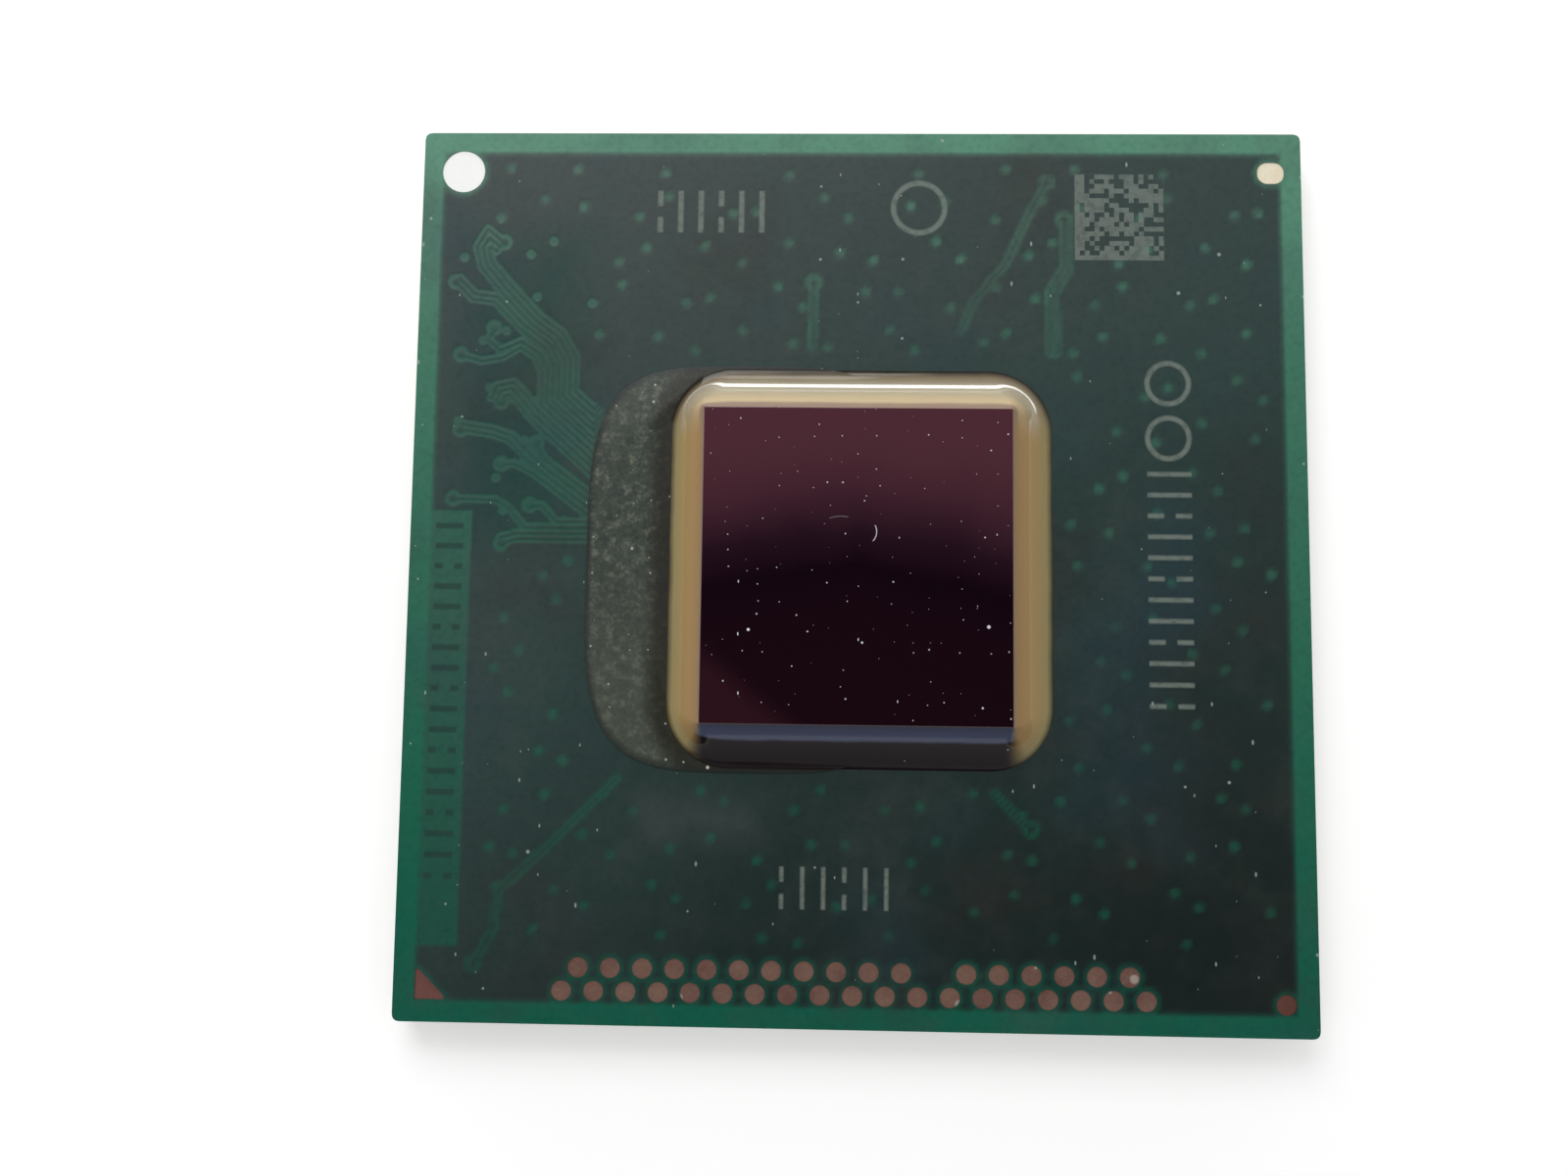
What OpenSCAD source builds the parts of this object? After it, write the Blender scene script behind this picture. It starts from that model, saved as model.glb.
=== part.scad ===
// Flip-chip ball grid array: a bare silicon die on a green laminate board, with its underfill,
// test pads, corner marks and the solder balls underneath. Millimetres; z = 0 is the seating
// plane at the lowest points of the balls, and the board is centred on x = y = 0.

/* [Board] */
// Width of the laminate board, left to right
board_w = 20; // [19:0.1:24]
// Depth of the laminate board, front to back
board_d = 20; // [19:0.1:24]
// Radius of the routed board corners
board_corner_r = 0.15; // [0.05:0.01:0.4]
// Thickness of the laminate core
core_t = 0.48; // [0.3:0.01:1.2]
// Thickness of each outer copper layer
copper_t = 0.015; // [0.01:0.005:0.035]
// Thickness of the solder mask over the copper
mask_t = 0.02; // [0.01:0.005:0.04]
// Width of the border that carries no copper
border_w = 0.48; // [0.3:0.01:0.8]

/* [Label window] */
// Width of the bare window at the left edge of the copper field
label_w = 0.9; // [0.5:0.05:1.2]
// Length of the label window
label_len = 9.6; // [4:0.1:10]
// Distance of its lower end from the board's front edge
label_front = 1.62; // [1.4:0.01:3]

/* [Test pads] */
// Diameter of a test pad's opening in the mask
pad_d = 0.44; // [0.3:0.01:0.48]
// Distance between neighbouring test pads in a row
pad_pitch = 0.702; // [0.66:0.001:0.8]
// Number of pads in the front row
front_pads = 19; // [5:1:21]
// Place in the back row that has no pad, counted from the left
back_gap = 11; // [0:1:17]
// Distance of the front row from the board's front edge
front_row_y = 0.72; // [0.65:0.01:1]
// Copper left between the bare rings of neighbouring pads in the two rows
row_web = 0.011; // [0.01:0.001:0.1]
// Width of a pad's rim that the mask covers
pad_rim = 0.03; // [0.01:0.005:0.05]
// Bare ring between a pad and the copper field
pad_gap = 0.05; // [0.03:0.005:0.06]

/* [Corner marks] */
// Diameter of the bright round land at the back left corner
round_land_d = 0.98; // [0.5:0.01:1]
// Its distance from the left and the back edges
round_land_in = 0.92; // [0.8:0.01:1.5]
// Width of the land at the back right corner
right_land_w = 0.6; // [0.4:0.01:0.8]
// Depth of the land at the back right corner
right_land_d = 0.5; // [0.4:0.01:0.8]
// Rounding of its corners
right_land_r = 0.22; // [0.05:0.01:0.25]
// Its distance from the right edge
right_land_in = 0.68; // [0.6:0.01:1.2]
// Its distance from the back edge
right_land_back = 0.91; // [0.6:0.01:1.2]
// Distance of the front right land from both edges
dot_land_in = 0.7; // [0.6:0.01:1.2]
// Length of the two short sides of the pin one triangle
triangle_leg = 0.64; // [0.4:0.01:0.9]
// Width of the flat at the triangle's two sharp tips
triangle_tip = 0.05; // [0.02:0.01:0.1]

/* [Die] */
// Width of the silicon die
die_w = 6.71; // [4:0.01:9]
// Depth of the silicon die
die_d = 6.87; // [4:0.01:9]
// Thickness of the silicon die
die_t = 0.70; // [0.3:0.01:0.9]
// Gap between the board and the die
die_gap = 0.07; // [0.04:0.01:0.1]
// Diameter of a die bump
bump_d = 0.1; // [0.06:0.01:0.14]
// Diameter of the land under a bump
bump_land_d = 0.16; // [0.15:0.01:0.24]
// Distance between neighbouring bumps
bump_pitch = 0.45; // [0.4:0.01:0.9]
// Margin of the bare die site round the die
site_margin = 0.2; // [0.1:0.01:0.4]

/* [Underfill] */
// How far the fillet runs out on the left
fillet_left = 0.8; // [0.5:0.01:1.4]
// How far the fillet runs out on the right
fillet_right = 1.0; // [0.5:0.01:1.4]
// How far the fillet runs out at the back
fillet_back = 1.03; // [0.5:0.01:1.4]
// How far the fillet runs out at the front
fillet_front = 1.0; // [0.5:0.01:1.4]
// Corner radius of the fillet where it meets the board
fillet_corner_r = 1.3; // [0.8:0.01:1.6]
// How far the fillet stops below the top of the die
fillet_drop = 0.03; // [0.01:0.01:0.2]
// Thickness of the fillet's upper edge
fillet_lip = 0.03; // [0.02:0.005:0.08]
// Hollowness of the fillet: 1 is a straight slope
fillet_hollow = 1.6; // [1:0.05:3]
// How far the thin tongue of spilled underfill reaches from the die's left side
tongue_reach = 2.65; // [1.6:0.05:4]
// Half the depth of the tongue
tongue_half_d = 4.54; // [3:0.01:5]
// Thickness of the tongue
tongue_t = 0.03; // [0.01:0.005:0.06]

/* [Solder balls] */
// Diameter of a solder ball
ball_d = 0.36; // [0.34:0.005:0.42]
// Height of the board's underside above the seating plane
ball_stand = 0.25; // [0.22:0.005:0.3]
// Step of the grid whose every second place holds a ball
ball_step = 0.42; // [0.4:0.01:0.6]
// Clear distance from the board's edge to the outermost ball places
ball_edge = 0.7; // [0.5:0.05:2]
// Diameter of the copper land over a ball
ball_land_d = 0.4; // [0.38:0.005:0.46]
// Room between a ball and the edge of its opening in the mask
ball_relief = 0.005; // [0.002:0.001:0.01]
// Empty places each way from the middle to the outer ball field
moat = 13; // [9:1:16]
// Ball places missing from each corner, counted along the edge
corner_cut = 2; // [0:1:5]
// Half the number of steps that the centre field takes, left to right
core_cols = 3; // [0:1:4]
// Half the number of steps that the centre field takes, front to back
core_rows = 2; // [0:1:4]

/* [Copper openings] */
// Diameter of the round openings in the copper field
vent_d = 0.22; // [0.1:0.01:0.35]
// Average distance between the round openings
vent_pitch = 1.03; // [0.9:0.01:1.6]
// How far an opening strays from its regular place
vent_stray = 0.26; // [0:0.01:0.3]

/* [Signal tracks] */
// Width of a signal track
track_w = 0.06; // [0.03:0.005:0.08]
// Bare strip between a track and the copper beside it
track_gap = 0.07; // [0.05:0.005:0.1]
// Diameter of the pad where a track goes down through the board
via_d = 0.16; // [0.12:0.01:0.24]
// Bare ring round such a pad
via_gap = 0.11; // [0.07:0.01:0.14]
// Rounding of the inner corners of the bare strips
route_round = 0.04; // [0.01:0.01:0.06]

/* [Hidden] */

// Heights, from the seating plane up
bottom_z = ball_stand;
core_z = bottom_z + mask_t + copper_t;
top_z = core_z + core_t;
board_top_z = top_z + copper_t + mask_t;
die_z = board_top_z + die_gap;
die_top_z = die_z + die_t;

// Board edges and the edges of the copper field
left = -board_w / 2;
right = board_w / 2;
front = -board_d / 2;
back = board_d / 2;
field_w = board_w - 2 * border_w;
field_d = board_d - 2 * border_w;
overlap = 0.01; // sunk depth where two bodies of one piece join
vent_keep = 0.35; // room between a round opening and what it stays clear of
bump_edge = 0.25; // bare silicon outside the outermost bumps

// Shape of the underfill
corner_points = 9; // points on each round corner of one of the fillet's rings
ring_count = 9; // rings from the foot to the lip
tongue_square = 4; // 2 makes the tongue an ellipse, more makes it squarer
tongue_inset = 1; // how far inside the die's left side the tongue has its middle
tongue_rx = tongue_reach + tongue_inset;

// The front row is centred; the back row has one place less, over the gaps
pad_ring_d = pad_d + 2 * (pad_rim + pad_gap);
front_row = front + front_row_y;
back_row = front_row + sqrt(pow(pad_ring_d + row_web, 2) - pow(pad_pitch / 2, 2));
back_places = front_pads - 1;

// Corner marks
round_land = [left + round_land_in, back - round_land_in];
bright_land = [right - right_land_in, back - right_land_back];
small_land = [right - dot_land_in, front + dot_land_in];
triangle_corner = [left + border_w, front + border_w];

// Opening in the bottom mask: as wide as the ball is where it passes the mask
ball_r = ball_d / 2;
ball_r_at_mask = sqrt(pow(ball_r, 2) - pow(bottom_z - ball_r, 2));
ball_opening_r = ball_r_at_mask + ball_relief;

// Signal tracks: [number side by side, route of the middle one from its pad towards the die].
// They start at pads near the left edge and gather where they run under the tongue. They are
// drawn on a field of one size, and their points spread or close up with the real field.
ROUTES = [
    [3, [[-8.17, 7.32], [-8.44, 7.54], [-8.58, 7.30], [-8.47, 6.90], [-7.93, 6.28], [-7.30, 5.62],
         [-6.78, 5.24], [-6.50, 4.75], [-6.50, 3.92], [-5.60, 3.10]]],
    [2, [[-9.12, 6.54], [-8.74, 6.16], [-8.22, 6.10], [-7.63, 5.48], [-6.99, 5.01], [-6.83, 4.62],
         [-6.83, 3.80], [-5.60, 2.68]]],
    [1, [[-8.26, 5.42], [-8.38, 5.16], [-8.10, 4.92], [-7.63, 5.13], [-7.18, 4.84], [-7.02, 4.45],
         [-7.02, 3.74], [-5.60, 2.45]]],
    [1, [[-9.00, 4.80], [-8.53, 4.66], [-8.05, 4.74], [-7.64, 4.99], [-7.30, 4.77], [-7.15, 4.40],
         [-7.15, 3.68], [-5.60, 2.27]]],
    [3, [[-8.16, 3.76], [-8.08, 3.98], [-7.80, 4.04], [-7.54, 3.77], [-7.27, 3.43], [-5.88, 2.17]]],
    [1, [[-7.22, 2.78], [-7.02, 2.42], [-5.95, 1.62], [-5.60, 1.55]]],
    [2, [[-8.94, 3.14], [-8.23, 3.04], [-7.80, 2.90], [-7.50, 2.60], [-7.15, 2.26], [-6.00, 1.40],
         [-5.60, 1.32]]],
    [1, [[-8.00, 2.29], [-7.70, 2.31], [-7.25, 2.08], [-6.05, 1.18], [-5.60, 1.12]]],
    [1, [[-7.33, 1.36], [-7.05, 1.36], [-6.70, 0.99], [-5.60, 0.99]]],
    [1, [[-9.06, 1.50], [-8.10, 1.48], [-7.80, 1.30], [-7.42, 0.86], [-5.60, 0.86]]],
    [2, [[-7.96, 0.56], [-7.60, 0.665], [-5.60, 0.665]]],
    [2, [[4.72, 8.00], [4.72, 6.87], [4.38, 6.30], [4.41, 4.90]]],
    [1, [[4.27, 8.86], [3.87, 8.12], [3.36, 6.99], [2.62, 6.08], [2.34, 5.40]]],
    [1, [[-1.00, 6.50], [-1.02, 5.00]]],
    [1, [[-8.26, -8.74], [-7.81, -7.95], [-7.78, -7.21], [-6.53, -6.02], [-5.20, -4.70]]],
    [1, [[3.87, -5.68], [3.08, -4.90]]]
];
drawn_field = 19.04;
function on_field(route) = [for (p = route) [p.x * field_w, p.y * field_d] / drawn_field];

// A route moved sideways by d, with its corners mitred
function aside(route, d) = [for (i = [0 : len(route) - 1])
    let (j = max(i, 1), k = min(i, len(route) - 2),
         into = (route[j] - route[j - 1]) / norm(route[j] - route[j - 1]),
         out = (route[k + 1] - route[k]) / norm(route[k + 1] - route[k]),
         both = into + out)
    route[i] + [-both.y, both.x] * 2 * d / (both * both)];

// The tracks of one route, side by side
track_step = track_w + track_gap;
function side_by_side(r) = [for (k = [0 : r[0] - 1])
    aside(on_field(r[1]), (k - (r[0] - 1) / 2) * track_step)];

$fn = 32;

// ---- flat outlines -------------------------------------------------------------------------

// A rectangle with four round corners, centred
module round_rect(w, d, r) {
    square([w - 2 * r, d], center = true);
    square([w, d - 2 * r], center = true);
    for (x = [-1, 1], y = [-1, 1]) translate([x * (w / 2 - r), y * (d / 2 - r)]) circle(r);
}

module board_outline() round_rect(board_w, board_d, board_corner_r);

// A strip of one width along a route, with a round joint at every point
module strip(w, route) {
    for (i = [0 : len(route) - 2]) {
        run = route[i + 1] - route[i];
        translate(route[i]) rotate(atan2(run.y, run.x)) translate([0, -w / 2]) square([norm(run), w]);
    }
    for (p = route) translate(p) circle(d = w);
}

// All tracks, grown by a gap, with the pad of each route's first track, grown by its own
module tracks(gap, round_pad) for (r = ROUTES) {
    lanes = side_by_side(r);
    for (lane = lanes) strip(track_w + 2 * gap, lane, $fn = 12);
    translate(lanes[0][0]) circle(d = via_d + 2 * round_pad, $fn = 20);
}
// The bare room round the tracks, with its inner corners softened
module track_room() offset(r = -route_round, $fn = 12) offset(r = route_round, $fn = 12)
    tracks(track_gap, via_gap);

// Is a place clear of the underfill, the pad rows, the label window and the corners?
function in_box(p, x0, x1, y0, y1) = p.x > x0 && p.x < x1 && p.y > y0 && p.y < y1;
function vent_fits(p) =
    in_box(p, left + border_w + vent_keep, right - border_w - vent_keep,
           back_row + pad_d / 2 + vent_keep, back - border_w - vent_keep)
    && !in_box(p, -die_w / 2 - tongue_reach - vent_keep, die_w / 2 + fillet_right + vent_keep,
               -tongue_half_d - vent_keep, die_d / 2 + fillet_back + vent_keep)
    && !in_box(p, left, left + border_w + label_w + vent_keep, front, front + label_front + label_len)
    && norm(p - round_land) > round_land_d && norm(p - bright_land) > right_land_w + vent_keep;

vent_cols = floor(field_w / vent_pitch / 2);
vent_rows = floor(field_d / vent_pitch / 2);
// Places on a slanted lattice, each strayed by its own repeatable amount
function vent_at(i, j) = [
    (i + (j % 2) / 2) * vent_pitch + vent_stray * sin(197 * i + 83 * j),
    j * vent_pitch + vent_stray * cos(131 * i - 71 * j)];
VENTS = [for (i = [-vent_cols : vent_cols], j = [-vent_rows : vent_rows])
    let (p = vent_at(i, j)) if (vent_fits(p)) p];

// A test pad row as [x, y] places
FRONT_ROW = [for (i = [0 : front_pads - 1]) [(i - (front_pads - 1) / 2) * pad_pitch, front_row]];
BACK_ROW = [for (i = [0 : back_places - 1]) if (i != back_gap)
    [(i - (back_places - 1) / 2) * pad_pitch, back_row]];

// The outline of each mark in the mask, grown by g
module round_mark(g) translate(round_land) circle(d = round_land_d + 2 * g);
module bright_mark(g) translate(bright_land)
    round_rect(right_land_w + 2 * g, right_land_d + 2 * g, right_land_r + g);
module small_mark(g) translate(small_land) circle(d = pad_d + 2 * g);
module triangle_mark(g) {
    // both short sides move out by g, and the slanted side moves out squarely by g too
    s = triangle_leg + 2 * g;
    t = triangle_tip + g * sqrt(2);
    translate(triangle_corner - [g, g]) polygon([[0, 0], [s, 0], [s, t], [t, s], [0, s]]);
}
module marks(g) {
    round_mark(g);
    bright_mark(g);
    small_mark(g);
    triangle_mark(g);
    for (p = concat(FRONT_ROW, BACK_ROW)) translate(p) circle(d = pad_d + 2 * g);
}
module die_site() round_rect(die_w + 2 * site_margin, die_d + 2 * site_margin, site_margin);

// The square between the middle of a corner mark and its corner of the board
module beyond(p) translate([min(p.x, sign(p.x) * board_w / 2), min(p.y, sign(p.y) * board_d / 2)])
    square([board_w / 2 - abs(p.x), board_d / 2 - abs(p.y)]);

// The copper field of the top side, with everything that is etched out of it
module copper_field() difference() {
    round_rect(field_w, field_d, board_corner_r);
    marks(pad_rim + pad_gap);
    for (p = [round_land, small_land]) beyond(p);
    die_site();
    translate([left, front + label_front]) square([border_w + label_w, label_len]);
    track_room();
    for (p = VENTS) translate(p) circle(d = vent_d);
}

// ---- places of bumps and balls -------------------------------------------------------------

bump_cols = floor((die_w - 2 * bump_edge) / bump_pitch);
bump_rows = floor((die_d - 2 * bump_edge) / bump_pitch);
BUMPS = [for (i = [0 : bump_cols], j = [0 : bump_rows])
    [(i - bump_cols / 2) * bump_pitch, (j - bump_rows / 2) * bump_pitch]];

ball_cols = floor((board_w / 2 - ball_edge) / ball_step);
ball_rows = floor((board_d / 2 - ball_edge) / ball_step);
function even(n) = n % 2 == 0;
function in_outer_field(i, j) = even(i + j) && max(abs(i), abs(j)) >= moat
    && (ball_cols - abs(i)) + (ball_rows - abs(j)) > 2 * corner_cut;
function in_centre_field(i, j) = even(i) && even(j) && abs(i) <= 2 * core_cols && abs(j) <= 2 * core_rows;
// The outermost ball on each diagonal
corner_n = min(ball_cols, ball_rows) - corner_cut - 1;
function is_corner(i, j) = abs(i) == corner_n && abs(j) == corner_n;
BALLS = [for (i = [-ball_cols : ball_cols], j = [-ball_rows : ball_rows])
    if (is_corner(i, j) || in_outer_field(i, j) || in_centre_field(i, j)) [i, j]];

// ---- the pieces ----------------------------------------------------------------------------

module board_core() color("#8f9a5a") translate([0, 0, core_z]) linear_extrude(core_t) board_outline();

module top_copper() color("#6b5a45") translate([0, 0, top_z]) linear_extrude(copper_t) copper_field();

module signal_tracks() color("#7a5f48") translate([0, 0, top_z]) linear_extrude(copper_t) tracks(0, 0);

// The mask fills what is etched out of the copper, covers it and leaves the marks and the die site open
module top_mask() color("#2c5245") difference() {
    translate([0, 0, top_z]) linear_extrude(copper_t + mask_t) difference() {
        board_outline();
        die_site();
    }
    translate([0, 0, top_z]) linear_extrude(copper_t) {
        copper_field();
        tracks(0, 0);
        marks(pad_rim);
    }
    translate([0, 0, top_z + copper_t]) linear_extrude(mask_t) marks(0);
}

// Half section of a ball's hole in the bottom layers: the land's seat, then the opening
module ball_plug() rotate_extrude() polygon([[0, bottom_z], [ball_opening_r, bottom_z],
    [ball_opening_r, bottom_z + mask_t], [ball_land_d / 2, bottom_z + mask_t],
    [ball_land_d / 2, core_z], [0, core_z]]);

module at_balls(corners) for (b = BALLS) if (is_corner(b.x, b.y) == corners)
    translate([b.x * ball_step, b.y * ball_step]) children();

module bottom_mask() color("#27584a") difference() {
    translate([0, 0, bottom_z]) linear_extrude(core_z - bottom_z) board_outline();
    at_balls(true) ball_plug();
    at_balls(false) ball_plug();
}

module ball_land() translate([0, 0, core_z - copper_t]) cylinder(d = ball_land_d, h = copper_t);
module ball_lands() color("#b87e4e") {
    at_balls(true) ball_land();
    at_balls(false) ball_land();
}

// A reflowed ball, flat where it wets its land
module ball() rotate_extrude() intersection() {
    translate([0, ball_r]) circle(ball_r);
    square([ball_r, bottom_z + mask_t]);
}
module corner_balls() color("#c9ccd0") at_balls(true) ball();
module ball_field() color("#c9ccd0") at_balls(false) ball();

module die_block(extra) translate([-die_w / 2, -die_d / 2, die_z]) cube([die_w, die_d, die_t + extra]);
module die() color("#2a1019") die_block(0);

// A copper pillar with its land
module bump() rotate_extrude() polygon([[0, top_z], [bump_land_d / 2, top_z],
    [bump_land_d / 2, top_z + copper_t], [bump_d / 2, top_z + copper_t], [bump_d / 2, die_z], [0, die_z]]);
module at_bumps() for (p = BUMPS) translate(p) children();
module die_bumps() color("#c08a58") at_bumps() bump();

// Underfill: rings of the same number of points, from the foot on the board up to the die's edge.
// s runs from 0 at the lip beside the die to 1 at the foot.
function mix(a, b, s) = a + (b - a) * s;
function ring(s) =
    let (r = mix(fillet_lip, fillet_corner_r, s),
         x0 = -die_w / 2 - mix(fillet_lip, fillet_left, s), x1 = die_w / 2 + mix(fillet_lip, fillet_right, s),
         y0 = -die_d / 2 - mix(fillet_lip, fillet_front, s), y1 = die_d / 2 + mix(fillet_lip, fillet_back, s),
         z = mix(board_top_z, die_top_z - fillet_drop, pow(1 - s, fillet_hollow)),
         middles = [[x1 - r, y1 - r], [x0 + r, y1 - r], [x0 + r, y0 + r], [x1 - r, y0 + r]])
    [for (c = [0 : 3], k = [0 : corner_points - 1])
        let (a = 90 * (c + k / (corner_points - 1)))
        [middles[c].x + r * cos(a), middles[c].y + r * sin(a), z]];

module fillet() {
    n = 4 * corner_points;
    points = [for (k = [0 : ring_count - 1]) each ring(1 - k / (ring_count - 1))];
    last = (ring_count - 1) * n;
    polyhedron(points, concat(
        [[for (i = [0 : n - 1]) i]],
        [for (k = [0 : ring_count - 2], i = [0 : n - 1])
            [k * n + i, (k + 1) * n + i, (k + 1) * n + (i + 1) % n, k * n + (i + 1) % n]],
        [[for (i = [n - 1 : -1 : 0]) last + i]]));
}

// The spilled tongue: a squarish oval whose right half runs out under the fillet and the die
function sgn_pow(v, e) = sign(v) * pow(abs(v), e);
module tongue() translate([tongue_inset - die_w / 2, 0, board_top_z]) linear_extrude(tongue_t)
    polygon([for (a = [0 : 5 : 355])
        [tongue_rx * sgn_pow(cos(a), 2 / tongue_square), tongue_half_d * sgn_pow(sin(a), 2 / tongue_square)]]);

module underfill() color("#b9a67c") difference() {
    union() {
        fillet();
        tongue();
        translate([0, 0, top_z]) linear_extrude(copper_t + mask_t + overlap) die_site();
    }
    die_block(1);
    at_bumps() bump();
}

module pad_discs(row) color("#c08d72") translate([0, 0, top_z])
    for (p = row) translate(p) cylinder(d = pad_d + 2 * pad_rim, h = copper_t);
module front_test_pads() pad_discs(FRONT_ROW);
module back_test_pads() pad_discs(BACK_ROW);
module mark_plate(tone) color(tone) translate([0, 0, top_z]) linear_extrude(copper_t) children();
module round_corner_land() mark_plate("#f4f2ea") round_mark(pad_rim);
module bright_corner_land() mark_plate("#e0cda6") bright_mark(pad_rim);
module small_corner_land() mark_plate("#8f6152") small_mark(pad_rim);
module pin_one_mark() mark_plate("#8d5e52") triangle_mark(pad_rim);

board_core();
top_copper();
signal_tracks();
top_mask();
bottom_mask();
ball_lands();
corner_balls();
ball_field();
die();
die_bumps();
underfill();
front_test_pads();
back_test_pads();
round_corner_land();
bright_corner_land();
small_corner_land();
pin_one_mark();
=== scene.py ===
# %% [markdown]
# # A bare-die chip package, finished in Blender
#
# The part is a chip on a square green board. Everything that has a size was drawn in CAD, so this lesson
# loads that model as a fixed frame and gives it its looks: a satin solder mask with copper showing darkly
# through it, a polished die, glossy underfill, plated pads and reflowed solder balls.

# %% Load the frame
import math

import bpy
import numpy as np
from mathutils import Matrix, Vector
from mathutils.bvhtree import BVHTree


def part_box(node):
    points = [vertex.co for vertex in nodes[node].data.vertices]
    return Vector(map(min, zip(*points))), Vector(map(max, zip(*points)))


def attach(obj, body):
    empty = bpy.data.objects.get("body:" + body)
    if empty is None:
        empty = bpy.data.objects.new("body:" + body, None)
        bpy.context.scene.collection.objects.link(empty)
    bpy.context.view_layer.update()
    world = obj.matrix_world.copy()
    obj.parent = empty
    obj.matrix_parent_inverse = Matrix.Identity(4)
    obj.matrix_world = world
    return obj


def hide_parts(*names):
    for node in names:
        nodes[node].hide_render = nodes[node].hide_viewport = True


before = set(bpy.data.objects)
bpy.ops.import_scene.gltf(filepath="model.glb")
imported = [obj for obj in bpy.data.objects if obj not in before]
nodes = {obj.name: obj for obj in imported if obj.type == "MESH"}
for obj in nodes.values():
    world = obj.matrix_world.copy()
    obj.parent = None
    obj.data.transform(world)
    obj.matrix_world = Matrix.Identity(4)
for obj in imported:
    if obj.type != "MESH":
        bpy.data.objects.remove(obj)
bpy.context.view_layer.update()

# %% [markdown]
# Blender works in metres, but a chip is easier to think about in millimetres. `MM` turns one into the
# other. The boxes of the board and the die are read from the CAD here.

MM = 0.001
MERGE = 0.0005 * MM  # points closer than this are one
board_low, board_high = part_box("top_mask")
die_low, die_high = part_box("die")
board_top = board_high.z
print("board", [round(v / MM, 2) for v in board_high - board_low], "mm, top at", round(board_top / MM, 3))

# %% [markdown]
# A mesh operator acts on whatever is selected, so every step starts with nothing selected. These small
# helpers do what a maker does by hand: pick one object, go into edit mode, and pick faces or edges by
# where they lie.


# %% Selecting and shaping by hand
def only(piece):
    """Leaves one object selected and active."""
    bpy.ops.object.select_all(action="DESELECT")
    piece.select_set(True)
    bpy.context.view_layer.objects.active = piece
    return piece


def pick(piece, test, kind="VERT"):
    """Goes into edit mode with the vertices, edges or faces selected whose middle passes the test."""
    only(piece)
    bpy.ops.object.mode_set(mode="EDIT")
    bpy.ops.mesh.select_mode(type=kind)
    bpy.ops.mesh.select_all(action="DESELECT")
    bpy.ops.object.mode_set(mode="OBJECT")
    mesh = piece.data
    if kind == "VERT":
        for v in mesh.vertices:
            v.select = test(v.co)
    elif kind == "EDGE":
        for e in mesh.edges:
            a, b = (mesh.vertices[i].co for i in e.vertices)
            e.select = test(a, b)
    else:
        for f in mesh.polygons:
            f.select = test(f.center, f.normal)
    bpy.ops.object.mode_set(mode="EDIT")


def pick_all(piece):
    pick(piece, lambda co: True)


def leave_edit():
    bpy.ops.object.mode_set(mode="OBJECT")


def settle(piece, name):
    """Applies the object's place and size to its mesh and names it."""
    only(piece)
    bpy.ops.object.transform_apply(location=True, rotation=True, scale=True)
    piece.name = name
    piece.data.name = name
    return piece


def apply_modifier(piece, kind, **settings):
    only(piece)
    modifier = piece.modifiers.new(kind.title(), kind)
    for key, value in settings.items():
        setattr(modifier, key, value)
    bpy.ops.object.modifier_apply(modifier=modifier.name)


def outward(piece):
    """Turns every face of a closed piece outwards."""
    pick_all(piece)
    bpy.ops.mesh.normals_make_consistent(inside=False)
    leave_edit()
    return piece


def smooth(piece, degrees):
    """Shades a piece smoothly, except over edges sharper than this angle."""
    only(piece)
    bpy.ops.object.shade_smooth_by_angle(angle=math.radians(degrees))


def copy_node(name):
    """A free copy of a CAD node with its loose triangles merged, to measure from or to cut with."""
    piece = bpy.data.objects.new(name + "_copy", nodes[name].data.copy())
    bpy.context.scene.collection.objects.link(piece)
    piece.data.materials.clear()
    pick_all(piece)
    bpy.ops.mesh.remove_doubles(threshold=MERGE)
    leave_edit()
    return piece


def loose_parts(piece):
    """Splits a piece into its separate solids."""
    pick_all(piece)
    bpy.ops.mesh.separate(type="LOOSE")
    leave_edit()
    return list(bpy.context.selected_objects)


def join(parts, name):
    bpy.ops.object.select_all(action="DESELECT")
    for part in parts:
        part.select_set(True)
    bpy.context.view_layer.objects.active = parts[0]
    bpy.ops.object.join()
    return settle(bpy.context.view_layer.objects.active, name)


def discard(piece):
    bpy.data.objects.remove(piece, do_unlink=True)


def finish_piece(piece, material, slot, *replaced):
    """Gives a piece its finish and its place on the one rigid body; its slot is not used."""
    piece.data.materials.clear()
    piece.data.materials.append(material)
    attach(piece, "root")
    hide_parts(*replaced)
    print(piece.name, len(piece.data.polygons), "faces")


print("the frame left", len(bpy.context.selected_objects), "objects selected")
bpy.ops.object.select_all(action="DESELECT")

# %% [markdown]
# ## Writing finishes as sums
#
# Paint boxes give a colour as three numbers from 0 to 255, but a shader wants the amount of light, which
# is not in step with them. `tone` turns one into the other.


# %% Colours
def tone(*rgb):
    """A colour from a paint box as amounts of light."""
    return tuple(((v / 255 + 0.055) / 1.055) ** 2.4 if v > 10 else v / 255 / 12.92 for v in rgb)


print("a mid grey of 128 is", round(tone(128)[0], 3), "of full light")

# %% [markdown]
# ## A wire
#
# A finish is a tree of shader nodes. Wiring one by hand takes many lines, so a `Wire` stands for a
# number on its way between nodes: adding or multiplying two wires adds the Math node that does it.
# Colours don't go through Math nodes, which would turn them grey. They are mixed with `blend`.


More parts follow.
